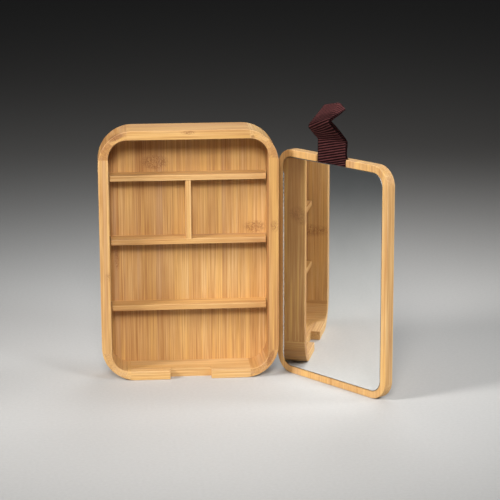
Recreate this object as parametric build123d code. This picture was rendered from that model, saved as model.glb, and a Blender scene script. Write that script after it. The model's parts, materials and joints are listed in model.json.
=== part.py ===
from build123d import *
import math
import os

# Bamboo vanity box: an open tray with three shelves, and a lift-off lid that holds a mirror
# and a pull strap of webbing. Millimetres. The tray stands upright on its bottom rail, open to
# the front (-Y). The origin is the middle of the tray's bottom face. The lid stands on the same
# surface beside the tray, mirror towards the tray's front, strap up.

# Tray frame
TRAY_WIDTH = 180.0
TRAY_HEIGHT = 257.0
TRAY_DEPTH = 43.5
SIDE_WALL = 10.2
END_WALL = 9.4
CORNER_RADIUS = 35.0
CORNER_BLOCK = 29.0
RIM_ROUNDING = 0.8
PANEL_THICKNESS = 5.5
PANEL_LET_IN = 4.0
PANEL_CLEARANCE = 0.1

# Notch in the bottom rail, where the strap passes when the lid is on
NOTCH_CLEARANCE = 1.0
NOTCH_DEPTH = 10.2

# Shelves and divider, all of one board. The bay between the bottom and middle shelves takes
# the height that the other bays leave.
SHELF_THICKNESS = 5.6
SHELF_DEPTH = 20.0
TOP_BAY_HEIGHT = 39.0
UPPER_BAY_HEIGHT = 60.0
BOTTOM_BAY_HEIGHT = 59.4
GROOVE_DEPTH = 3.0
GROOVE_SIDE_CLEARANCE = 0.1
GROOVE_END_CLEARANCE = 0.1
SHOULDER_LENGTH = 16.0
SHOULDER_GAP = 1.2
SHELF_ROUNDING = 0.5
HOUSING_DEPTH = 1.0
DIVIDER_SET_BACK = 0.5

# Lid
LID_SIDE_CLEARANCE = 2.6
LID_END_CLEARANCE = 2.3
LID_THICKNESS = 10.4
LID_CORNER_RADIUS = 20.0
LID_RIM = 7.0
LID_ROUNDING = 1.0
GLASS_THICKNESS = 2.0
GLASS_SINK = 0.3
GLASS_GAP = 0.6
GLASS_BEVEL = 0.4
TAPE_THICKNESS = 0.5
TAPE_WIDTH = 18.0
TAPE_INSET = 12.0

# Strap: one length of webbing folded double, its two tails glued behind the glass
STRAP_WIDTH = 40.0
WEBBING_THICKNESS = 1.2
STRAP_SIDE_CLEARANCE = 0.6
STRAP_SEAT_CLEARANCE = 0.1
STRAP_MOUTH_SINK = 1.0
STRAP_JOINT_GAP = 0.3
TAIL_LENGTH = 26.0
TAIL_RISE = 5.0
STRAP_BEND_RADIUS = 4.0
# Course of the free strap above the lid's top edge: (back from the lid's face, up)
STRAP_RISE = (4.5, 13.5)
STRAP_FORWARD_FOLD = (-10.0, 33.0)
STRAP_END = (11.0, 49.0)

# Where the lid stands: its hidden edge behind the tray's front face and off the tray's side,
# and the turn of its width away from the tray's front plane
LID_STANDS_BEHIND_FRONT = 28.0
LID_STANDS_OFF_SIDE = 1.0
LID_TURN = 52.4

# Derived sizes
TRAY_FRONT = -TRAY_DEPTH / 2
INNER_WIDTH = TRAY_WIDTH - 2 * SIDE_WALL
INNER_HEIGHT = TRAY_HEIGHT - 2 * END_WALL
INNER_RADIUS = CORNER_BLOCK - SIDE_WALL
PANEL_FRONT = TRAY_DEPTH / 2 - PANEL_THICKNESS
SHELF_FRONT = PANEL_FRONT - SHELF_DEPTH
SHELF_TOP_Z = TRAY_HEIGHT - END_WALL - TOP_BAY_HEIGHT - SHELF_THICKNESS
SHELF_MIDDLE_Z = SHELF_TOP_Z - UPPER_BAY_HEIGHT - SHELF_THICKNESS
SHELF_BOTTOM_Z = END_WALL + BOTTOM_BAY_HEIGHT
GROOVE_WIDTH = SHELF_THICKNESS + 2 * GROOVE_SIDE_CLEARANCE
STRAP_THICKNESS = 2 * WEBBING_THICKNESS
SLOT_WIDTH = STRAP_WIDTH + 2 * STRAP_SIDE_CLEARANCE
NOTCH_WIDTH = STRAP_WIDTH + 2 * NOTCH_CLEARANCE
LID_WIDTH = INNER_WIDTH - 2 * LID_SIDE_CLEARANCE
LID_HEIGHT = INNER_HEIGHT - 2 * LID_END_CLEARANCE
RECESS_WIDTH = LID_WIDTH - 2 * LID_RIM
RECESS_HEIGHT = LID_HEIGHT - 2 * LID_RIM
RECESS_RADIUS = LID_CORNER_RADIUS - LID_RIM
RECESS_DEPTH = GLASS_SINK + GLASS_THICKNESS + TAPE_THICKNESS
SLOT_DEPTH = RECESS_DEPTH + STRAP_THICKNESS + STRAP_SEAT_CLEARANCE


def span_box(x_from, x_to, y_from, y_to, z_from, z_to):
    """A box between six faces."""
    corner = (Align.MIN, Align.MIN, Align.MIN)
    return Pos(x_from, y_from, z_from) * Box(x_to - x_from, y_to - y_from, z_to - z_from, align=corner)


def upright_slab(width, height, radius, y_from, y_to):
    """A board with rounded corners that stands on z = 0, between two planes across Y."""
    outline = Plane.XZ * RectangleRounded(width, height, radius)
    return Pos(0, y_from, height / 2) * extrude(outline, amount=-(y_to - y_from))


# Tray ----------------------------------------------------------------------------------------

def frame_ring():
    """The glued frame before it is divided: outer wall, inner wall, rebate for the back panel."""
    ring = upright_slab(TRAY_WIDTH, TRAY_HEIGHT, CORNER_RADIUS, TRAY_FRONT, -TRAY_FRONT)
    ring -= Pos(0, 0, END_WALL) * upright_slab(INNER_WIDTH, INNER_HEIGHT, INNER_RADIUS, TRAY_FRONT, -TRAY_FRONT)
    ring = fillet(ring.faces().sort_by(Axis.Y)[0].edges(), RIM_ROUNDING)
    back_outline = ring.faces().sort_by(Axis.Y)[-1].outer_wire().edges()
    ring = fillet(back_outline, RIM_ROUNDING)
    rebate = upright_slab(
        INNER_WIDTH + 2 * PANEL_LET_IN,
        INNER_HEIGHT + 2 * PANEL_LET_IN,
        INNER_RADIUS + PANEL_LET_IN,
        PANEL_FRONT,
        -TRAY_FRONT,
    )
    return ring - Pos(0, 0, END_WALL - PANEL_LET_IN) * rebate


def shelf_groove(side, shelf_z):
    """A stopped groove in one side wall, with the round front end that its cutter leaves."""
    wall_x = side * INNER_WIDTH / 2
    middle_z = shelf_z + SHELF_THICKNESS / 2
    stop_y = SHELF_FRONT + SHOULDER_LENGTH
    x_near, x_far = sorted((wall_x, wall_x + side * GROOVE_DEPTH))
    straight = span_box(x_near, x_far, stop_y, PANEL_FRONT, middle_z - GROOVE_WIDTH / 2, middle_z + GROOVE_WIDTH / 2)
    round_end = Cylinder(GROOVE_WIDTH / 2, GROOVE_DEPTH, rotation=(0, 90, 0))
    return straight + Pos((x_near + x_far) / 2, stop_y, middle_z) * round_end


def side_rail(ring, side):
    """Left or right rail, grooved for the three shelves."""
    x_outer, x_inner = side * TRAY_WIDTH / 2, side * (TRAY_WIDTH / 2 - CORNER_BLOCK)
    x_from, x_to = sorted((x_outer, x_inner))
    rail = ring & span_box(x_from, x_to, TRAY_FRONT, -TRAY_FRONT, CORNER_BLOCK, TRAY_HEIGHT - CORNER_BLOCK)
    for shelf_z in (SHELF_BOTTOM_Z, SHELF_MIDDLE_Z, SHELF_TOP_Z):
        rail -= shelf_groove(side, shelf_z)
    return rail


def end_rail(ring, z_from, z_to):
    """Top or bottom rail."""
    half = TRAY_WIDTH / 2 - CORNER_BLOCK
    return ring & span_box(-half, half, TRAY_FRONT, -TRAY_FRONT, z_from, z_to)


def strap_notch():
    """The gap in the front of the bottom rail, the rail's full height."""
    return span_box(-NOTCH_WIDTH / 2, NOTCH_WIDTH / 2, TRAY_FRONT, TRAY_FRONT + NOTCH_DEPTH, 0, END_WALL)


def corner_block(ring, side, upper, by_side_rail):
    """Half of a rounded corner, from a rail to the joint between the halves."""
    centre_x = side * (TRAY_WIDTH / 2 - CORNER_BLOCK)
    centre_z = TRAY_HEIGHT - CORNER_BLOCK if upper else CORNER_BLOCK
    far_x = side * TRAY_WIDTH / 2
    far_z = TRAY_HEIGHT if upper else 0.0
    joint_point = (far_x, centre_z) if by_side_rail else (centre_x, far_z)
    wedge = Plane.XZ * make_face(Polyline((centre_x, centre_z), joint_point, (far_x, far_z), close=True))
    return ring & extrude(wedge, amount=TRAY_DEPTH / 2, both=True)


def back_panel():
    """The board that closes the back, let into the frame's rebate."""
    shrink = PANEL_LET_IN - PANEL_CLEARANCE
    panel = upright_slab(
        INNER_WIDTH + 2 * shrink,
        INNER_HEIGHT + 2 * shrink,
        INNER_RADIUS + shrink,
        PANEL_FRONT,
        -TRAY_FRONT,
    )
    return Pos(0, 0, END_WALL - shrink) * panel


def shelf(shelf_z):
    """A shelf with shouldered ends: the tongues behind the shoulders enter the side grooves."""
    half_front = INNER_WIDTH / 2 - SHOULDER_GAP
    half_tongue = INNER_WIDTH / 2 + GROOVE_DEPTH - GROOVE_END_CLEARANCE
    top_z = shelf_z + SHELF_THICKNESS
    board = span_box(-half_front, half_front, SHELF_FRONT, PANEL_FRONT, shelf_z, top_z)
    board = fillet(board.faces().sort_by(Axis.Y)[0].edges(), SHELF_ROUNDING)
    tongue_front = SHELF_FRONT + SHOULDER_LENGTH
    return board + span_box(-half_tongue, half_tongue, tongue_front, PANEL_FRONT, shelf_z, top_z)


def divider_blank(growth):
    """The upright board between two shelves, grown by a clearance on its sides and front."""
    half = SHELF_THICKNESS / 2 + growth
    front = SHELF_FRONT + DIVIDER_SET_BACK - growth
    z_from = SHELF_MIDDLE_Z + SHELF_THICKNESS - HOUSING_DEPTH
    z_to = SHELF_TOP_Z + HOUSING_DEPTH
    return span_box(-half, half, front, PANEL_FRONT, z_from, z_to)


def divider():
    """The upright board, its front edges eased."""
    blank = divider_blank(0.0)
    return fillet(blank.faces().sort_by(Axis.Y)[0].edges().filter_by(Axis.Z), SHELF_ROUNDING)


def tray_parts():
    ring = frame_ring()
    parts = {
        "rail_left": side_rail(ring, -1),
        "rail_right": side_rail(ring, 1),
        "rail_top": end_rail(ring, TRAY_HEIGHT - CORNER_BLOCK, TRAY_HEIGHT),
        "rail_bottom": end_rail(ring, 0, CORNER_BLOCK) - strap_notch(),
        "back_panel": back_panel(),
        "shelf_bottom": shelf(SHELF_BOTTOM_Z),
        "shelf_middle": shelf(SHELF_MIDDLE_Z) - divider_blank(GROOVE_SIDE_CLEARANCE),
        "shelf_top": shelf(SHELF_TOP_Z) - divider_blank(GROOVE_SIDE_CLEARANCE),
        "divider": divider(),
    }
    for side, side_name in ((-1, "left"), (1, "right")):
        for upper, end_name in ((True, "top"), (False, "bottom")):
            for by_side_rail, half_name in ((True, "side"), (False, "end")):
                name = f"corner_{end_name}_{side_name}_{half_name}"
                parts[name] = corner_block(ring, side, upper, by_side_rail)
    return parts


# Lid, in its own frame: X along its width, Y from the mirror side to the back, Z up ------------

def lid_board():
    """Solid board with the mirror's recess, and the strap's slot and pocket."""
    board = upright_slab(LID_WIDTH, LID_HEIGHT, LID_CORNER_RADIUS, 0, LID_THICKNESS)
    board = fillet(board.faces().sort_by(Axis.Y)[0].edges(), LID_ROUNDING)
    board = fillet(board.faces().sort_by(Axis.Y)[-1].edges(), LID_ROUNDING)
    recess = upright_slab(RECESS_WIDTH, RECESS_HEIGHT, RECESS_RADIUS, 0, RECESS_DEPTH)
    pocket_z = LID_HEIGHT - LID_RIM - TAIL_LENGTH - STRAP_SEAT_CLEARANCE
    slot = span_box(-SLOT_WIDTH / 2, SLOT_WIDTH / 2, 0, SLOT_DEPTH, pocket_z, LID_HEIGHT)
    return board - Pos(0, 0, LID_RIM) * recess - slot


def mirror_glass():
    """The mirror, with a bright ground bevel round its front edge."""
    glass = upright_slab(
        RECESS_WIDTH - 2 * GLASS_GAP,
        RECESS_HEIGHT - 2 * GLASS_GAP,
        RECESS_RADIUS - GLASS_GAP,
        GLASS_SINK,
        GLASS_SINK + GLASS_THICKNESS,
    )
    glass = chamfer(glass.faces().sort_by(Axis.Y)[0].edges(), GLASS_BEVEL)
    return Pos(0, 0, LID_RIM + GLASS_GAP) * glass


def mirror_tapes():
    """Two strips of double-sided foam tape between the glass and the recess floor."""
    z_from = LID_RIM + RECESS_RADIUS
    z_to = LID_HEIGHT - LID_RIM - RECESS_RADIUS
    y_from = GLASS_SINK + GLASS_THICKNESS
    outer = RECESS_WIDTH / 2 - TAPE_INSET
    strips = []
    for side in (-1, 1):
        x_from, x_to = sorted((side * outer, side * (outer - TAPE_WIDTH)))
        strips.append(span_box(x_from, x_to, y_from, RECESS_DEPTH, z_from, z_to))
    return Compound(children=strips)


def webbing(course):
    """Doubled webbing that follows a course of (back, up) points above the lid's top edge."""
    points = [(back, LID_HEIGHT + up) for back, up in course]
    radii = [STRAP_BEND_RADIUS] * (len(points) - 2)
    band = Plane.YZ * trace(FilletPolyline(*points, radius=radii), line_width=STRAP_THICKNESS)
    return extrude(band, amount=STRAP_WIDTH / 2, dir=(1, 0, 0), both=True)


def strap_tail():
    """The glued stretch: flat behind the glass, then forward to the slot's mouth."""
    pocket_middle = RECESS_DEPTH + STRAP_THICKNESS / 2
    mouth_middle = STRAP_MOUTH_SINK + STRAP_THICKNESS / 2
    course = [
        (pocket_middle, -LID_RIM - TAIL_LENGTH),
        (pocket_middle, -LID_RIM + GLASS_GAP / 2),
        (mouth_middle, -LID_RIM + TAIL_RISE),
        (mouth_middle, 0.0),
    ]
    return webbing(course)


def strap_loop():
    """The free stretch above the lid: up, folded forward, then back to the closed end.

    Its lower end is round about the line that it flexes on, just above the glued stretch.
    """
    flex_y = STRAP_MOUTH_SINK + STRAP_THICKNESS / 2
    flex_up = STRAP_JOINT_GAP + STRAP_THICKNESS / 2
    band = webbing([(flex_y, flex_up), STRAP_RISE, STRAP_FORWARD_FOLD, STRAP_END])
    round_end = Cylinder(STRAP_THICKNESS / 2, STRAP_WIDTH, rotation=(0, 90, 0))
    return band + Pos(0, flex_y, LID_HEIGHT + flex_up) * round_end


def lid_place():
    """Moves the lid to where it stands, its hidden edge close to the tray's side."""
    turn = math.radians(LID_TURN)
    edge_x = TRAY_WIDTH / 2 + LID_STANDS_OFF_SIDE
    edge_y = TRAY_FRONT + LID_STANDS_BEHIND_FRONT
    centre_x = edge_x + LID_WIDTH / 2 * math.cos(turn)
    centre_y = edge_y - LID_WIDTH / 2 * math.sin(turn)
    return Pos(centre_x, centre_y, 0) * Rot(0, 0, -LID_TURN)


def lid_parts():
    place = lid_place()
    parts = {
        "lid_board": lid_board(),
        "mirror_glass": mirror_glass(),
        "mirror_tapes": mirror_tapes(),
        "strap_tail": strap_tail(),
        "strap_loop": strap_loop(),
    }
    return {name: place * shape for name, shape in parts.items()}


os.makedirs("parts", exist_ok=True)
for node, shape in {**tray_parts(), **lid_parts()}.items():
    export_step(shape, f"parts/{node}.step")
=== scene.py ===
import json
import math

import bpy
from mathutils import Matrix, Vector


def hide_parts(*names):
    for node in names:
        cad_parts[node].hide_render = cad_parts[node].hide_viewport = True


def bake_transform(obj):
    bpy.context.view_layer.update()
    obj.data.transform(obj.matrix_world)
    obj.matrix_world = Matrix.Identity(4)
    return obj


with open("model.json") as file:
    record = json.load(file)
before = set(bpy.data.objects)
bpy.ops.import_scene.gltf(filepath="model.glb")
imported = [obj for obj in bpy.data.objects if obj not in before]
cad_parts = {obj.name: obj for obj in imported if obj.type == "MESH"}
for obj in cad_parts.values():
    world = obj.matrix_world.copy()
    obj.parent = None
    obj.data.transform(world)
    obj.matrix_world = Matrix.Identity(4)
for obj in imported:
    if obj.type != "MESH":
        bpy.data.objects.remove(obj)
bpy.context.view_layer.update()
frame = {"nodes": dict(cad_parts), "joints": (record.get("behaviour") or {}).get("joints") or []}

MM = 0.001
X, Y, Z = (1.0, 0.0, 0.0), (0.0, 1.0, 0.0), (0.0, 0.0, 1.0)

# Camera: where it stands in the row frame, how it looks, and its field in a square frame
CAMERA_PLACE = (-0.0812, -1.8421, 0.5716)
CAMERA_DOWN = 13.478
CAMERA_RIGHT = 4.457
CAMERA_ROLL = -0.237
CAMERA_LENS = 134.38
SENSOR = 36.0
# Where the lights look
STUDIO_CENTRE = Vector((0.03, 0.0, 0.13))

# The lid's own directions, from the hinge line of its strap
flop = next(j for j in frame["joints"] if j["name"] == "strap_flop")
LID_ALONG = Vector(flop["axis"])
LID_BACK = Vector(Z).cross(LID_ALONG)
FLEX_LINE = Vector(flop["pos_m"])
# Where that line lies: back from the lid's face and above its top edge, in millimetres
FLEX_BACK = 2.2
FLEX_UP = 1.5

# Strap webbing, in millimetres
STRAP_WIDTH = 40.0
WEBBING = 1.1
LAYER_GAP = 0.05
# The two layers part a little between the folds: (middle, half length, opening)
LAYERS_PART = (30.0, 34.0, 2.1)
END_OPENING = 1.6
END_OPENING_LENGTH = 20.0
RIB_PITCH = 2.6
RIB_RELIEF = 0.36
YARN_PITCH = 1.6
SELVEDGE = 0.7
# Share of its thickness that the webbing keeps at the very edge
EDGE_THICKNESS = 0.1
# Below 1, the ribs have broad tops and narrow hollows
RIB_ROUNDNESS = 0.6
STEPS_A_RIB = 8
STEPS_AROUND_END = 8
COLUMNS = 28
# The strap's free part, as the flat webbing was folded: it leaves the lid turned in its own
# plane and leaning back; each fold is (place across, place along, slant to the ribs, bend, radius)
STRAP_SHIFT = -0.5
STRAP_FRONT = 1.0
STRAP_TURN = 13.9
STRAP_LEAN = 13.5
STRAP_YAW = -2.0
FORWARD_FOLD = (0.0, 16.3, -11.9, 52.6, 4.5)
BACKWARD_FOLD = (0.0, 38.6, 5.5, -88.4, 3.0)
FREE_LENGTH = 63.7
# Towards its closed end the right edge droops: one more such fold, full at the very end
END_DROOP = (17.1, 38.6, -78.0, -81.8, 3.5)
# Towards the closed end the webbing is painted paler, a painted highlight standing in for light on the
# upturned end, and its ribs are made lower: over this much from the closed end, and by this share of
# their height
LIT_FLAT_END_LENGTH = 18.0
RUBBED_DEPTH = 0.3
# Between its two folds the ribs go askew, and they stay so to the end: their slope across the
# strap, and how far from the closed end it starts and is full
RIB_SLOPE = 0.20
SLOPE_START = 42.0
SLOPE_FULL = 26.0
# Its tails, straight down behind the glass
TAIL_LENGTH = 32.6
TAIL_BACK = 4.0
MOUTH_LENGTH = 7.5
# From their lower ends the tails' ribs take up the free part's turn over this much
TAIL_TURN_LENGTH = 15.0


# Node building ------------------------------------------------------------------------------

def node(tree, kind, inputs=None, **settings):
    """A shader node with its settings made and its inputs linked or set."""
    made = tree.nodes.new(kind)
    for key, value in settings.items():
        setattr(made, key, value)
    for key, value in (inputs or {}).items():
        if isinstance(value, bpy.types.NodeSocket):
            tree.links.new(value, made.inputs[key])
        else:
            made.inputs[key].default_value = value
    return made


def calc(tree, operation, a, b=0.0, c=0.0):
    return node(tree, "ShaderNodeMath", {0: a, 1: b, 2: c}, operation=operation).outputs[0]


def remap(tree, value, low, high, to_low=0.0, to_high=1.0):
    """Value eased from low..high to to_low..to_high."""
    settings = {"Value": value, "From Min": low, "From Max": high, "To Min": to_low, "To Max": to_high}
    return node(tree, "ShaderNodeMapRange", settings, interpolation_type="SMOOTHSTEP").outputs["Result"]


def vector(tree, x, y, z):
    return node(tree, "ShaderNodeCombineXYZ", {0: x, 1: y, 2: z}).outputs[0]


def swung(tree, total, signal, reach):
    """Total moved by how far the signal, from 0 to 1, is off its middle."""
    return calc(tree, "MULTIPLY_ADD", calc(tree, "SUBTRACT", signal, 0.5), reach, total)


def scaled(tree, parts, factors):
    """The three numbers in parts, each times its factor, as one vector."""
    return vector(tree, *[calc(tree, "MULTIPLY", p, f) for p, f in zip(parts, factors)])


def noise(tree, place, detail=3.0, roughness=0.55):
    inputs = {"Vector": place, "Scale": 1.0, "Detail": detail, "Roughness": roughness}
    return node(tree, "ShaderNodeTexNoise", inputs, noise_dimensions="3D").outputs["Fac"]


def mixed(tree, share, a, b):
    """Colour a with colour b laid over it by share."""
    return node(tree, "ShaderNodeMix", {0: share, 6: a, 7: b}, data_type="RGBA").outputs[2]


def ramp(tree, value, stops):
    made = node(tree, "ShaderNodeValToRGB", {"Fac": value})
    elements = made.color_ramp.elements
    while len(elements) < len(stops):
        elements.new(1.0)
    for element, (position, colour) in zip(elements, stops):
        element.position = position
        element.color = (*colour, 1.0)
    return made.outputs["Color"]


def bump(tree, height, distance, strength=1.0):
    inputs = {"Height": height, "Distance": distance, "Strength": strength}
    return node(tree, "ShaderNodeBump", inputs).outputs["Normal"]


def new_material(name, **fixed):
    """An empty material with its principled shader; fixed values go straight on its sockets."""
    made = bpy.data.materials.new(name)
    made.use_nodes = True
    tree = made.node_tree
    shader = tree.nodes["Principled BSDF"]
    for key, value in fixed.items():
        shader.inputs[key.replace("_", " ")].default_value = value
    return made, tree, shader


def drive(tree, shader, **sources):
    for key, socket in sources.items():
        tree.links.new(socket, shader.inputs[key.replace("_", " ")])


# Bamboo -------------------------------------------------------------------------------------

BAMBOO_STOPS = [
    (0.0, (0.33, 0.150, 0.046)),
    (0.35, (0.47, 0.248, 0.084)),
    (0.65, (0.56, 0.328, 0.124)),
    (1.0, (0.66, 0.435, 0.200)),
]
BAMBOO_BROWN = (0.23, 0.095, 0.030, 1.0)
SEAM_BROWN = (0.31, 0.15, 0.05, 1.0)
VEIN_BROWN = (0.33, 0.145, 0.038, 1.0)
# Paler colour for eased edges: partly wear, partly a painted highlight where the rounding catches light
WORN_AND_LIT_BAMBOO = (0.78, 0.58, 0.36, 1.0)
PINK_BAMBOO = (0.50, 0.31, 0.165, 1.0)
GOLD_BAMBOO = (0.64, 0.375, 0.110, 1.0)
# How fine each pattern is: cells a millimetre across the strips, through the board, along the grain
FIBRE = (0.75, 0.75, 0.008)
THREAD = (1.7, 1.7, 0.015)
BROAD = (0.04, 0.04, 0.010)
MOTTLE = (0.55, 0.55, 0.02)
HUE = (0.16, 0.16, 0.006)
VEIN = (0.50, 0.50, 0.005)
VESSEL = (1.5, 1.5, 0.028)
SQUIGGLE = (0.38, 0.38, 0.30)
# The grain of each strip is taken from another stretch of cane, up to this far along
CANE_LENGTH = 310.0
# How strongly each shows in the colour; end grain shows fewer veins and more flecks
VEIN_SHARE = 0.55
FLECK_SHARE = 0.26
END_GRAIN_FLECKS = 0.35
DENSE_SHARE = 0.7
SEAM_SHARE = 0.15
# How strongly the eased edges show paler, partly wear and partly painted highlight
WORN_AND_LIT_SHARE = 0.12


def grain_space(tree, across, through, along):
    """Position in millimetres across the strips, through the board and along the grain."""
    place = node(tree, "ShaderNodeTexCoord").outputs["Object"]
    parts = []
    for axis in (across, through, along):
        inputs = {0: place, 1: tuple(c / MM for c in axis)}
        made = node(tree, "ShaderNodeVectorMath", inputs, operation="DOT_PRODUCT")
        parts.append(made.outputs["Value"])
    return parts


def strips(tree, x, y, width, layer, seed):
    """Numbers that tell one glued strip from the next: column, row, and the place inside it."""
    row = calc(tree, "FLOOR", calc(tree, "DIVIDE", y, layer))
    inputs = {"W": calc(tree, "ADD", row, seed)}
    start = node(tree, "ShaderNodeTexWhiteNoise", inputs, noise_dimensions="1D").outputs["Value"]
    across = calc(tree, "MULTIPLY_ADD", x, 1 / width, start)
    inputs = {"W": calc(tree, "MULTIPLY_ADD", x, 0.7 / width, seed * 3.7), "Scale": 1.0, "Detail": 0.0}
    uneven = node(tree, "ShaderNodeTexNoise", inputs, noise_dimensions="1D").outputs["Fac"]
    across = calc(tree, "MULTIPLY_ADD", uneven, 1.3, across)
    return calc(tree, "FLOOR", across), row, calc(tree, "FRACT", across)


def knots(tree, place, marks):
    """Where growth rings cross the cane: 1 inside each patch, given as (centre, half sizes)."""
    total = None
    for centre, halves in marks:
        off = node(tree, "ShaderNodeVectorMath", {0: place, 1: centre}, operation="SUBTRACT").outputs[0]
        off = node(tree, "ShaderNodeVectorMath", {0: off, 1: halves}, operation="DIVIDE").outputs[0]
        far = node(tree, "ShaderNodeVectorMath", {0: off}, operation="LENGTH").outputs["Value"]
        patch = remap(tree, far, 1.15, 0.6)
        total = patch if total is None else calc(tree, "MAXIMUM", total, patch)
    return total


def squiggles(tree, x, y, z):
    """Short dark wavy strokes, about a millimetre wide."""
    place = scaled(tree, (x, y, z), SQUIGGLE)
    inputs = {"Vector": place, "Scale": 1.0, "Detail": 2.0, "Roughness": 0.55, "Distortion": 1.6}
    cloud = node(tree, "ShaderNodeTexNoise", inputs, noise_dimensions="3D").outputs["Fac"]
    return remap(tree, calc(tree, "ABSOLUTE", calc(tree, "SUBTRACT", cloud, 0.5)), 0.085, 0.03)


def worn_and_lit_edge(tree, facing, speckle):
    """How much of an eased edge shows: where the surface turns from the face to a side; it is painted
    paler there, partly as wear and partly as a painted highlight on the rounding.
    """
    normal = node(tree, "ShaderNodeTexCoord").outputs["Normal"]
    inputs = {0: normal, 1: tuple(facing)}
    front = node(tree, "ShaderNodeVectorMath", inputs, operation="DOT_PRODUCT").outputs["Value"]
    front = calc(tree, "ABSOLUTE", front)
    turning = calc(tree, "MULTIPLY", front, calc(tree, "SUBTRACT", 1.0, front))
    broken = remap(tree, speckle, 0.3, 0.6, 0.4, 1.0)
    return calc(tree, "MULTIPLY", remap(tree, turning, 0.03, 0.18), broken)


def strip_colour(tree, place, chance, fibre, thread, tone, spread, boards):
    """The cane's own colour: strips of other tones, some of them pinker or more golden."""
    level = swung(tree, tone, chance, spread)
    level = swung(tree, level, fibre, 1.0)
    level = swung(tree, level, thread, 1.3)
    level = swung(tree, level, noise(tree, scaled(tree, place, BROAD), 2.0), 0.8)
    hue = swung(tree, noise(tree, scaled(tree, place, HUE), 2.0), chance, 0.25)
    for start, change in boards:
        beyond = calc(tree, "GREATER_THAN", place[0], start)
        level = calc(tree, "MULTIPLY_ADD", beyond, change, level)
        hue = calc(tree, "MULTIPLY_ADD", beyond, change / 3, hue)
    colour = ramp(tree, level, BAMBOO_STOPS)
    colour = mixed(tree, remap(tree, hue, 0.46, 0.26, 0.0, 0.45), colour, PINK_BAMBOO)
    return mixed(tree, remap(tree, hue, 0.52, 0.72, 0.0, 0.5), colour, GOLD_BAMBOO)


def veins(tree, place, mottle):
    """Thin dark lines that come and go along the grain."""
    vein = noise(tree, scaled(tree, place, VEIN), 1.0)
    vein = remap(tree, calc(tree, "ABSOLUTE", calc(tree, "SUBTRACT", vein, 0.47)), 0.10, 0.0)
    return calc(tree, "MULTIPLY", vein, remap(tree, mottle, 0.38, 0.62, 0.3, 1.0))


def flecks(tree, place, mottle):
    """Short dark dashes where vessels open at the surface."""
    cells = {"Vector": scaled(tree, place, VESSEL), "Scale": 1.0}
    vessel = node(tree, "ShaderNodeTexVoronoi", cells).outputs["Distance"]
    return calc(tree, "MULTIPLY", remap(tree, vessel, 0.42, 0.12), remap(tree, mottle, 0.42, 0.66))


def dense_side(tree, inside, mottle):
    """The dark, dense side of each strip, as its end grain shows it."""
    return calc(tree, "MULTIPLY", remap(tree, inside, 0.35, 0.95), remap(tree, mottle, 0.30, 0.62))


def seams(tree, inside, width):
    """The glue lines between strips."""
    edge = calc(tree, "MINIMUM", inside, calc(tree, "SUBTRACT", 1.0, inside))
    return remap(tree, calc(tree, "MULTIPLY", edge, width), 0.3, 0.0)


def growth_rings(tree, x, y, z, end_grain, marks):
    """Brown squiggles inside each mark, and a plain brown patch where end grain shows."""
    wavy, plain = 0.72 - 0.4 * end_grain, 0.05 + 0.75 * end_grain
    stroke = calc(tree, "MULTIPLY_ADD", squiggles(tree, x, y, z), wavy, plain)
    return calc(tree, "MULTIPLY", knots(tree, vector(tree, x, y, z), marks), stroke)


def bamboo(
    name, axes, width, layer, seed, tone=0.5, spread=0.3, end_grain=0.0, marks=(), facing=Y, boards=()
):
    """Glued bamboo with its strips, fibres, dark vessel flecks, growth rings and satin lacquer."""
    made, tree, shader = new_material(name, IOR=1.45, Specular_IOR_Level=0.4)
    x, y, z = grain_space(tree, *axes)
    column, row, inside = strips(tree, x, y, width, layer, seed)
    cell = vector(tree, column, row, seed)
    chance = node(tree, "ShaderNodeTexWhiteNoise", {"Vector": cell}, noise_dimensions="3D")
    chance = chance.outputs["Value"]
    place = (x, y, calc(tree, "MULTIPLY_ADD", chance, CANE_LENGTH, z))
    fibre = noise(tree, scaled(tree, place, FIBRE), 3.0, 0.6)
    thread = noise(tree, scaled(tree, place, THREAD), 2.0)
    mottle = noise(tree, scaled(tree, place, MOTTLE), 3.0, 0.7)
    fleck = flecks(tree, place, mottle)
    seam = seams(tree, inside, width)
    worn_and_lit = worn_and_lit_edge(tree, facing, mottle)

    colour = strip_colour(tree, place, chance, fibre, thread, tone, spread, boards)
    vein = calc(tree, "MULTIPLY", veins(tree, place, mottle), VEIN_SHARE * (1.0 - end_grain))
    colour = mixed(tree, vein, colour, VEIN_BROWN)
    dashes = calc(tree, "MULTIPLY", fleck, FLECK_SHARE + END_GRAIN_FLECKS * end_grain)
    colour = mixed(tree, dashes, colour, BAMBOO_BROWN)
    if end_grain:
        dense = calc(tree, "MULTIPLY", dense_side(tree, inside, mottle), DENSE_SHARE * end_grain)
        colour = mixed(tree, dense, colour, SEAM_BROWN)
    colour = mixed(tree, calc(tree, "MULTIPLY", seam, SEAM_SHARE), colour, SEAM_BROWN)
    if marks:
        colour = mixed(tree, growth_rings(tree, x, y, z, end_grain, marks), colour, BAMBOO_BROWN)
    # painted highlight: eased edges are made paler, partly as wear and partly standing in for light on
    # the rounding
    colour = mixed(tree, calc(tree, "MULTIPLY", worn_and_lit, WORN_AND_LIT_SHARE), colour, WORN_AND_LIT_BAMBOO)

    rough = calc(tree, "MULTIPLY_ADD", fibre, 0.16, 0.50)
    rough = calc(tree, "MULTIPLY_ADD", calc(tree, "ADD", fleck, worn_and_lit), 0.18, rough)
    raised = calc(tree, "MULTIPLY_ADD", thread, 0.5, calc(tree, "MULTIPLY", fibre, 0.6))
    sunk = calc(tree, "MULTIPLY_ADD", seam, 0.5, calc(tree, "MULTIPLY", fleck, 0.5))
    normal = bump(tree, calc(tree, "SUBTRACT", raised, sunk), 0.10 * MM, 0.7)
    drive(tree, shader, Base_Color=colour, Roughness=rough, Normal=normal)
    return made


def dress(name, material):
    """The CAD node takes the material."""
    for place in frame["nodes"][name].material_slots:
        place.material = material


# The back panel is glued up from boards: where each starts across it, and how much paler it is
PANEL_BOARDS = [(-36.0, 0.13), (31.0, 0.11)]
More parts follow.
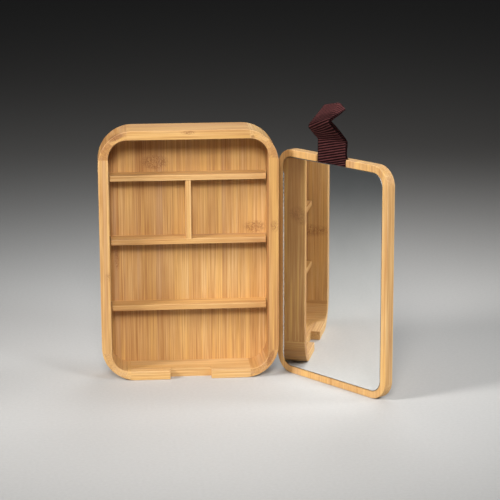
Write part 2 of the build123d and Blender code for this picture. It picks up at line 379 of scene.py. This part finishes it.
# Growth rings that show, as (centre, half sizes) across the strips, through them, along the grain
THROUGH = 60.0
PANEL_MARKS = [
    ((-33.0, 0.0, 218.5), (15.5, THROUGH, 8.5)),
    ((68.5, 0.0, 149.5), (12.0, THROUGH, 7.0)),
    ((-73.0, 0.0, 118.0), (2.5, THROUGH, 12.0)),
]
SHELF_MARKS = [((6.0, 0.0, 37.0), (9.0, 2 * THROUGH, 4.5))]
# On the lid their places across are given from its middle
LID_MARKS = [
    ((76.0, 0.0, 152.0), (4.0, THROUGH, 5.0)),
    ((-40.0, 0.0, 96.0), (9.0, THROUGH, 6.0)),
    ((22.0, 0.0, 181.0), (8.0, THROUGH, 5.0)),
]
RIGHT_RAIL_MARKS = [((86.0, -18.0, 158.0), (6.0, 9.0, 7.0)), ((90.0, -14.0, 165.0), (4.0, 9.0, 8.0))]
LEFT_RAIL_MARKS = [((-82.0, 0.0, 109.0), (5.0, 28.0, 8.0))]
TOP_RAIL_MARKS = [((254.6, -20.0, 0.0), (2.2, 8.0, 8.0))]
# The rails' directions (across, through, along), strip width, seed, tone and growth rings
RAIL_LOOKS = {
    "rail_left": ((X, Y, Z), 5.2, 3.0, 0.56, LEFT_RAIL_MARKS),
    "rail_right": ((X, Y, Z), 5.2, 8.0, 0.08, RIGHT_RAIL_MARKS),
    "rail_top": ((Z, Y, X), 4.8, 12.0, 0.50, TOP_RAIL_MARKS),
    "rail_bottom": ((Z, Y, X), 4.8, 15.0, 0.78, ()),
}
# How thick each of their glued layers is
RAIL_LAYER = 16.0
# The corner blocks' tone, how much end grain shows, and their dark patches, given like growth
# rings: outward, along the block's outside and along the tray's depth
CORNER_LOOKS = {
    "corner_top_left_side": (0.14, 0.60, []),
    "corner_top_left_end": (0.40, 0.60, [((259.0, 30.0, -20.0), (2.8, 9.5, 12.0))]),
    "corner_top_right_side": (0.30, 0.60, []),
    "corner_top_right_end": (0.62, 0.35, [((255.0, 36.4, -20.0), (1.9, 1.9, 9.0))]),
    # The bottom-left blocks' paler tones are painted light, standing in for the light that falls into
    # that inner corner
    "corner_bottom_left_side": (0.60, 0.48, []),
    "corner_bottom_left_end": (0.62, 0.48, []),
    "corner_bottom_right_side": (0.20, 0.60, [((67.2, -50.0, -20.0), (2.8, 9.0, 12.0))]),
    "corner_bottom_right_end": (0.26, 0.60, []),
}


def dress_rails():
    for name, (axes, width, seed, tone, marks) in RAIL_LOOKS.items():
        dress(name, bamboo("bamboo_" + name, axes, width, RAIL_LAYER, seed, tone, marks=marks))


def dress_inside():
    panel = bamboo(
        "bamboo_panel", (X, Y, Z), width=6.5, layer=40.0, seed=21.0, tone=0.37, spread=0.30,
        marks=PANEL_MARKS, boards=PANEL_BOARDS,
    )
    dress("back_panel", panel)
    grain = {"axes": (Y, Z, X), "width": 9.0, "layer": 8.0}
    for count, name in enumerate(("shelf_top", "shelf_middle", "shelf_bottom")):
        marks = SHELF_MARKS if name == "shelf_middle" else ()
        seed, tone = 31.0 + count, 0.66 - 0.05 * count
        dress(name, bamboo("bamboo_" + name, **grain, seed=seed, tone=tone, marks=marks))
    divider = bamboo("bamboo_divider", (Y, X, Z), width=9.0, layer=8.0, seed=41.0, tone=0.64)
    dress("divider", divider)


def dress_corners():
    """Each block's grain runs along the tray's depth, its strips stacked outwards."""
    for upright, rise in (("top", 1.0), ("bottom", -1.0)):
        for side, reach in (("left", -1.0), ("right", 1.0)):
            for part, angle in (("side", 22.5), ("end", 67.5)):
                a = math.radians(angle)
                outward = (reach * math.cos(a), 0.0, rise * math.sin(a))
                chord = (-reach * math.sin(a), 0.0, rise * math.cos(a))
                seed = 50.0 + 3 * angle + 7 * reach + 11 * rise
                name = f"corner_{upright}_{side}_{part}"
                tone, end_grain, marks = CORNER_LOOKS[name]
                block = bamboo(
                    "bamboo_" + name, (outward, chord, Y), width=5.2, layer=21.0, seed=seed,
                    tone=tone, spread=0.25, end_grain=end_grain, marks=marks,
                )
                dress(name, block)


def dress_lid():
    axes = (tuple(LID_ALONG), tuple(LID_BACK), Z)
    middle = FLEX_LINE.dot(LID_ALONG) / MM
    marks = [((x + middle, y, z), halves) for (x, y, z), halves in LID_MARKS]
    board = bamboo(
        "bamboo_lid", axes, width=8.0, layer=5.3, seed=71.0, tone=0.64, spread=0.25,
        marks=marks, facing=LID_BACK,
    )
    dress("lid_board", board)
    dress("mirror_glass", mirror())
    dress("mirror_tapes", foam())


# Mirror, tape and webbing -------------------------------------------------------------------

# Heights: the glass's left edge is chipped up to the first, and above the second more darkly
CHIPS_END = 204.0
CHIPS_DARKEN = 165.0


def chipped_silver(tree):
    """Chips along the glass's left edge, where the silvering is gone, and their speckled grey."""
    x, _, z = grain_space(tree, tuple(LID_ALONG), tuple(LID_BACK), Z)
    glass = frame["nodes"]["mirror_glass"].data
    left = min(LID_ALONG.dot(corner.co) for corner in glass.vertices) / MM
    ragged = noise(tree, scaled(tree, (x, z, 0.0), (0.8, 0.5, 1.0)), 3.0, 0.7)
    inward = calc(tree, "MULTIPLY_ADD", ragged, -2.0, calc(tree, "SUBTRACT", x, left))
    below = remap(tree, z, CHIPS_END + 8.0, CHIPS_END)
    chipped = calc(tree, "MULTIPLY", remap(tree, inward, 1.3, 0.9), below)
    speck = noise(tree, scaled(tree, (x, z, 7.0), (1.4, 0.45, 1.0)), 3.0, 0.8)
    speck = calc(tree, "MULTIPLY_ADD", remap(tree, z, CHIPS_DARKEN, CHIPS_END), -0.10, speck)
    stops = [(0.34, (0.02, 0.02, 0.02)), (0.44, (0.40, 0.39, 0.37)), (0.60, (0.92, 0.91, 0.88))]
    return chipped, ramp(tree, speck, stops)


def mirror():
    """Silvered glass: a clear reflection on the face, a frosted look on the ground edge."""
    made, tree, shader = new_material("silvered_glass")
    place = node(tree, "ShaderNodeTexCoord")
    inputs = {0: place.outputs["Normal"], 1: tuple(-LID_BACK)}
    facing = node(tree, "ShaderNodeVectorMath", inputs, operation="DOT_PRODUCT").outputs["Value"]
    ground = remap(tree, facing, 0.995, 0.93)
    inputs = {"Vector": place.outputs["Object"], "Scale": 35.0, "Detail": 4.0}
    haze = node(tree, "ShaderNodeTexNoise", inputs).outputs["Fac"]
    inputs = {"Vector": place.outputs["Object"], "Scale": 2600.0, "Detail": 2.0}
    grit = node(tree, "ShaderNodeTexNoise", inputs).outputs["Fac"]
    face = ramp(tree, haze, [(0.3, (0.86, 0.88, 0.88)), (0.7, (0.90, 0.92, 0.92))])
    rim = ramp(tree, grit, [(0.35, (0.10, 0.11, 0.11)), (0.75, (0.45, 0.47, 0.46))])
    chipped, grey = chipped_silver(tree)
    matt = calc(tree, "MULTIPLY", calc(tree, "MAXIMUM", ground, chipped), 0.45)
    rough = calc(tree, "ADD", remap(tree, haze, 0.45, 0.75, 0.015, 0.035), matt)
    normal = bump(tree, calc(tree, "MULTIPLY", grit, ground), 0.02 * MM)
    colour = mixed(tree, chipped, mixed(tree, ground, face, rim), grey)
    metal = calc(tree, "SUBTRACT", 1.0, chipped)
    drive(tree, shader, Base_Color=colour, Metallic=metal, Roughness=rough, Normal=normal)
    return made


def foam():
    """White foam tape with its closed cells."""
    made, tree, shader = new_material("foam_tape", IOR=1.4)
    place = node(tree, "ShaderNodeTexCoord").outputs["Object"]
    cells = node(tree, "ShaderNodeTexVoronoi", {"Vector": place, "Scale": 2500.0}).outputs["Distance"]
    colour = ramp(tree, cells, [(0.0, (0.60, 0.59, 0.56)), (0.5, (0.80, 0.79, 0.76))])
    rough = remap(tree, cells, 0.0, 0.6, 0.95, 0.75)
    drive(tree, shader, Base_Color=colour, Roughness=rough, Normal=bump(tree, cells, 0.1 * MM))
    return made


# The webbing's colour, from the hollows, painted nearly black as shade, to the tops of its ribs, paler
# partly from wear and partly as painted light
WEBBING_STOPS = [
    (0.38, (0.004, 0.0005, 0.0006)),
    (0.7, (0.024, 0.0055, 0.0058)),
    (1.0, (0.105, 0.036, 0.036)),
]


def webbing():
    """Dark ribbed webbing: fine warp yarns over thick ribs; rib tops painted paler and hollows painted
    darker, as painted light and shade, and the end painted paler as a painted highlight.
    """
    made, tree, shader = new_material("strap_webbing", Specular_IOR_Level=0.06)
    flat = node(tree, "ShaderNodeUVMap", uv_map="weave").outputs["UV"]
    split = node(tree, "ShaderNodeSeparateXYZ", {0: flat})
    across = calc(tree, "MULTIPLY", split.outputs[0], 1 / MM)
    along = calc(tree, "MULTIPLY", split.outputs[1], 1 / MM)
    turn = calc(tree, "MULTIPLY", across, 2 * math.pi / YARN_PITCH)
    yarn = calc(tree, "MULTIPLY_ADD", calc(tree, "SINE", turn), 0.5, 0.5)
    wave = calc(tree, "COSINE", calc(tree, "MULTIPLY", along, 2 * math.pi / RIB_PITCH))
    crest = calc(tree, "MULTIPLY_ADD", wave, 0.5, 0.5)
    strand = noise(tree, scaled(tree, (across, along, 0.0), (5.0, 0.5, 1.0)), 3.0)
    patch = noise(tree, scaled(tree, (across, along, 0.0), (0.12, 0.12, 1.0)), 3.0)
    from_end = calc(tree, "ABSOLUTE", calc(tree, "SUBTRACT", along, TAIL_LENGTH + FREE_LENGTH))
    # painted highlight: towards the closed end the webbing is painted paler with lower rib contrast,
    # standing in for light on the upturned end
    lit_and_flat_end = remap(tree, from_end, LIT_FLAT_END_LENGTH, LIT_FLAT_END_LENGTH / 2)
    relief = calc(tree, "MULTIPLY_ADD", lit_and_flat_end, -0.18, 0.58)
    half = STRAP_WIDTH / 2
    # painted shade: the webbing is painted darker along both edges, standing in for the shade on the
    # strap's side edges
    shaded_edge = remap(tree, calc(tree, "ABSOLUTE", across), half - 0.9, half - 0.4)
    column = calc(tree, "MULTIPLY_ADD", lit_and_flat_end, 0.18, 0.12)
    # painted light and shade: the level rises on the rib tops and falls in the hollows, so hollows are
    # painted near black as shade and tops paler, partly wear and partly painted light
    level = calc(tree, "MULTIPLY_ADD", crest, relief, calc(tree, "MULTIPLY", yarn, column))
    level = calc(tree, "MULTIPLY_ADD", lit_and_flat_end, 0.20, level)
    level = calc(tree, "MULTIPLY_ADD", shaded_edge, -0.5, level)
    level = calc(tree, "MULTIPLY_ADD", strand, 0.3, level)
    level = calc(tree, "MULTIPLY_ADD", patch, 0.25, level)
    rough = remap(tree, strand, 0.3, 0.7, 0.75, 0.95)
    height = calc(tree, "MULTIPLY_ADD", yarn, 0.6, calc(tree, "MULTIPLY", strand, 0.5))
    colour = ramp(tree, level, WEBBING_STOPS)
    drive(tree, shader, Base_Color=colour, Roughness=rough, Normal=bump(tree, height, 0.12 * MM))
    return made


# Strap --------------------------------------------------------------------------------------

def lid_point(along, back, up):
    """A place given along the lid's width, back from its face and above its top, in the row frame."""
    step = LID_ALONG * along + LID_BACK * (back - FLEX_BACK) + Vector(Z) * (up - FLEX_UP)
    return FLEX_LINE + step * MM


def eased(value):
    """0 below 0, 1 above 1 and smooth between."""
    t = min(1.0, max(0.0, value))
    return t * t * (3 - 2 * t)


def folded(point, flat, fold, share=1.0):
    """The point of a sheet after a round fold; flat is where it was before any fold."""
    if not share:
        return point
    across, along, slant, bend, radius = fold
    slant, bend = math.radians(slant), math.radians(bend * share)
    crease = Vector((math.cos(slant), math.sin(slant), 0.0))
    beyond = Vector((-math.sin(slant), math.cos(slant), 0.0))
    start = Vector((across, along, 0.0))
    half = radius * abs(bend) / 2
    reached = max(-half, min(half, (flat - start).dot(beyond)))
    turn = bend * (reached + half) / (2 * half)
    arc = 2 * half / bend
    centre = start + beyond * reached
    curve = start + beyond * (arc * math.sin(turn) - half) + Vector(Z) * (arc * (1 - math.cos(turn)))
    return curve + Matrix.Rotation(turn, 3, crease) @ (point - centre)


def free_point(across, along):
    """A point of the free strap in the lid's directions, from the flat webbing and its folds."""
    flat = Vector((across, along, 0.0))
    past = (along - END_DROOP[1]) / (FREE_LENGTH - END_DROOP[1])
    point = folded(flat, flat, END_DROOP, min(1.0, max(0.0, past)))
    point = folded(point, flat, BACKWARD_FOLD)
    point = folded(point, flat, FORWARD_FOLD)
    turn, lean, yaw = map(math.radians, (STRAP_TURN, STRAP_LEAN, STRAP_YAW))
    wide = Vector((math.cos(yaw), math.sin(yaw), 0.0))
    high = Vector((-math.sin(yaw) * math.sin(lean), math.cos(yaw) * math.sin(lean), math.cos(lean)))
    rib = wide * math.cos(turn) + high * math.sin(turn)
    rise = high * math.cos(turn) - wide * math.sin(turn)
    base = Vector((STRAP_SHIFT, STRAP_FRONT + WEBBING, 0.0))
    return base + rib * point.x + rise * point.y + rib.cross(rise) * point.z


def strap_point(across, along):
    """A point of the strap's middle surface: straight tail, mouth, then the free part."""
    free = free_point(across, along)
    if along >= 0:
        return lid_point(*free)
    slope = math.tan(math.radians(STRAP_TURN)) * eased((along + TAIL_LENGTH) / TAIL_TURN_LENGTH)
    tail = Vector((across, TAIL_BACK, along + across * slope))
    return lid_point(*tail.lerp(free, eased((along + MOUTH_LENGTH) / MOUTH_LENGTH)))


def layer_opening(along):
    """How far the two layers stand apart."""
    middle, half, opening = LAYERS_PART
    bulge = opening * eased(1 - abs(along - middle) / half)
    near_end = (along - FREE_LENGTH + END_OPENING_LENGTH) / END_OPENING_LENGTH
    return LAYER_GAP + bulge + END_OPENING * eased(near_end)


def strap_layers():
    """Rows of (point, outward direction) up the front layer, over the closed end, down the back."""
    step = RIB_PITCH / STEPS_A_RIB
    rows = int((TAIL_LENGTH + FREE_LENGTH) / step)
    places = [STRAP_WIDTH * (c / COLUMNS - 0.5) for c in range(COLUMNS + 1)]
    grid = [[strap_point(a, k * step - TAIL_LENGTH) for a in places] for k in range(rows + 1)]
    offset = (WEBBING + LAYER_GAP) / 2 * MM
    front, back, ends = [], [], []
    for k, line in enumerate(grid):
        behind = (layer_opening(k * step - TAIL_LENGTH) - LAYER_GAP) * MM + offset
        above, below = grid[min(k + 1, rows)], grid[max(k - 1, 0)]
        fronts, backs, ends = [], [], []
        for c, point in enumerate(line):
            rib = line[min(c + 1, COLUMNS)] - line[max(c - 1, 0)]
            rise = (above[c] - below[c]).normalized()
            out = rib.cross(rise).normalized()
            fronts.append((point + out * offset, out))
            backs.append((point - out * behind, -out))
            ends.append((point - out * (behind - offset) / 2, out, rise))
        front.append(fronts)
        back.append(backs)
    turned = []
    for k in range(1, STEPS_AROUND_END):
        a = math.pi * k / STEPS_AROUND_END
        ways = [(p, out * math.cos(a) + rise * math.sin(a)) for p, out, rise in ends]
        turned.append([(p + way * (behind + offset) / 2, way) for p, way in ways])
    return front + turned + back[::-1]


def strap_ring(line, length):
    """One cross-section as (point, place in the weave): its ribbed side, then back inside."""
    from_end = abs(length - TAIL_LENGTH - FREE_LENGTH)
    lit_and_flat_end = eased(2 - 2 * from_end / LIT_FLAT_END_LENGTH)
    slope = RIB_SLOPE * eased((SLOPE_START - from_end) / (SLOPE_START - SLOPE_FULL))
    ring = []
    for side in (1, -1):
        for c in range(COLUMNS + 1)[::side]:
            point, out = line[c]
            across = STRAP_WIDTH * (c / COLUMNS - 0.5)
            along = length - slope * across
            cord = abs(math.cos(math.pi * along / RIB_PITCH)) ** RIB_ROUNDNESS
            cord = (1 - RUBBED_DEPTH * lit_and_flat_end) * cord
            lift = WEBBING / 2 - (RIB_RELIEF * (1 - cord) if side == 1 else 0.0)
            edge = max(0.0, abs(across) - (STRAP_WIDTH / 2 - SELVEDGE)) / SELVEDGE
            thick = math.sqrt(max(0.0, 1 - edge**2)) * (1 - EDGE_THICKNESS) + EDGE_THICKNESS
            ring.append((point + out * (side * lift * thick * MM), (across * MM, along * MM)))
    return ring


def strap_mesh():
    """The doubled webbing as one closed strip with its ribs, edges rounded like a selvedge."""
    rings, length, last = [], 0.0, None
    for line in strap_layers():
        middle = line[COLUMNS // 2][0]
        length += (middle - last).length / MM if last else 0.0
        last = middle
        rings.append(strap_ring(line, length))
    around = len(rings[0])
    faces = []
    for start in range(0, around * (len(rings) - 1), around):
        for c in range(around):
            a, b = start + c, start + (c + 1) % around
            faces.append((a, b, b + around, a + around))
    faces.append(tuple(range(around))[::-1])
    faces.append(tuple(around * (len(rings) - 1) + c for c in range(around)))
    corners = [corner for ring in rings for corner in ring]
    vertices, spots = zip(*corners)
    return vertices, faces, spots, length


def make_strap():
    vertices, faces, spots, length = strap_mesh()
    mesh = bpy.data.meshes.new("strap_webbing")
    mesh.from_pydata(vertices, [], faces)
    weave = mesh.uv_layers.new(name="weave")
    for loop in mesh.loops:
        weave.data[loop.index].uv = spots[loop.vertex_index]
    mesh.polygons.foreach_set("use_smooth", [True] * len(mesh.polygons))
    mesh.update()
    piece = bpy.data.objects.new("strap_webbing", mesh)
    bpy.context.scene.collection.objects.link(piece)
    mesh.materials.append(webbing())
    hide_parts("strap_loop", "strap_tail")
    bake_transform(piece)


# Studio -------------------------------------------------------------------------------------

# The floor's half width, in metres
FLOOR_HALF = 9.0
WORLD_COLOUR = (0.93, 0.96, 1.0, 1.0)
WORLD_STRENGTH = 0.015
# Each light's (azimuth, elevation, distance), size, power, colour and spread
LIGHTS = {
    "front": ((-6, 30, 2.2), 0.55, 2.7, (1.0, 0.97, 0.94), 46.0),
    "left": ((-66, 30, 1.9), 0.6, 1.8, (1.0, 0.98, 0.96), 34.0),
    "right": ((84, 24, 1.9), 0.6, 1.2, (0.96, 0.98, 1.0), 40.0),
    "fill": ((42, 36, 2.0), 0.6, 0.9, (0.93, 0.98, 1.0), 44.0),
    "back": ((165, 48, 2.0), 0.9, 1.4, (0.94, 0.97, 1.0), 60.0),
}


def area_light(name, place, size, power, colour, spread):
    """A round soft light that looks at the object."""
    lamp = bpy.data.lights.new(name, "AREA")
    lamp.shape, lamp.size, lamp.energy, lamp.color = "DISK", size, power, colour
    lamp.spread = math.radians(spread)
    light = bpy.data.objects.new(name, lamp)
    light.location = place
    light.rotation_euler = (STUDIO_CENTRE - place).to_track_quat("-Z", "Y").to_euler()
    light.visible_camera = False
    bpy.context.scene.collection.objects.link(light)


def floor():
    """Pale studio paper, wide enough to fill the camera's view."""
    half = FLOOR_HALF
    corners = [(-half, -half, 0), (half, -half, 0), (half, half, 0), (-half, half, 0)]
    mesh = bpy.data.meshes.new("studio_floor")
    mesh.from_pydata(corners, [], [(0, 1, 2, 3)])
    piece = bpy.data.objects.new("studio_floor", mesh)
    bpy.context.scene.collection.objects.link(piece)
    made, tree, shader = new_material("studio_paper")
    place = node(tree, "ShaderNodeTexCoord").outputs["Object"]
    inputs = {"Vector": place, "Scale": 300.0, "Detail": 4.0}
    grain = node(tree, "ShaderNodeTexNoise", inputs).outputs["Fac"]
    colour = ramp(tree, grain, [(0.3, (0.46, 0.455, 0.445)), (0.7, (0.50, 0.495, 0.485))])
    drive(tree, shader, Base_Color=colour, Roughness=remap(tree, grain, 0.3, 0.7, 0.7, 0.8))
    mesh.materials.append(made)


def from_object(azimuth, elevation, distance):
    """A place round the object; azimuth 0 is in front of the tray and 90 to its right."""
    a, e = math.radians(azimuth), math.radians(elevation)
    way = Vector((math.sin(a) * math.cos(e), -math.cos(a) * math.cos(e), math.sin(e)))
    return STUDIO_CENTRE + way * distance


def studio():
    world = bpy.data.worlds.new("studio")
    bpy.context.scene.world = world
    world.use_nodes = True
    background = world.node_tree.nodes["Background"]
    background.inputs["Color"].default_value = WORLD_COLOUR
    background.inputs["Strength"].default_value = WORLD_STRENGTH
    for name, (place, *look) in LIGHTS.items():
        area_light(name, from_object(*place), *look)
    bpy.context.scene.view_settings.view_transform = "Standard"
    floor()


def camera():
    pitch, yaw, roll = map(math.radians, (CAMERA_DOWN, CAMERA_RIGHT, CAMERA_ROLL))
    ahead = Vector((math.sin(yaw) * math.cos(pitch), math.cos(yaw) * math.cos(pitch), -math.sin(pitch)))
    right = Vector((math.cos(yaw), -math.sin(yaw), 0.0))
    up = right.cross(ahead)
    right = right * math.cos(roll) + up * math.sin(roll)
    up = right.cross(ahead)
    data = bpy.data.cameras.new("camera")
    data.lens, data.sensor_width = CAMERA_LENS, SENSOR
    made = bpy.data.objects.new("camera", data)
    turn = Matrix((right, up, -ahead)).transposed()
    made.matrix_world = Matrix.Translation(CAMERA_PLACE) @ turn.to_4x4()
    bpy.context.scene.collection.objects.link(made)
    bpy.context.scene.camera = made


camera()
studio()
dress_rails()
dress_inside()
dress_corners()
dress_lid()
make_strap()
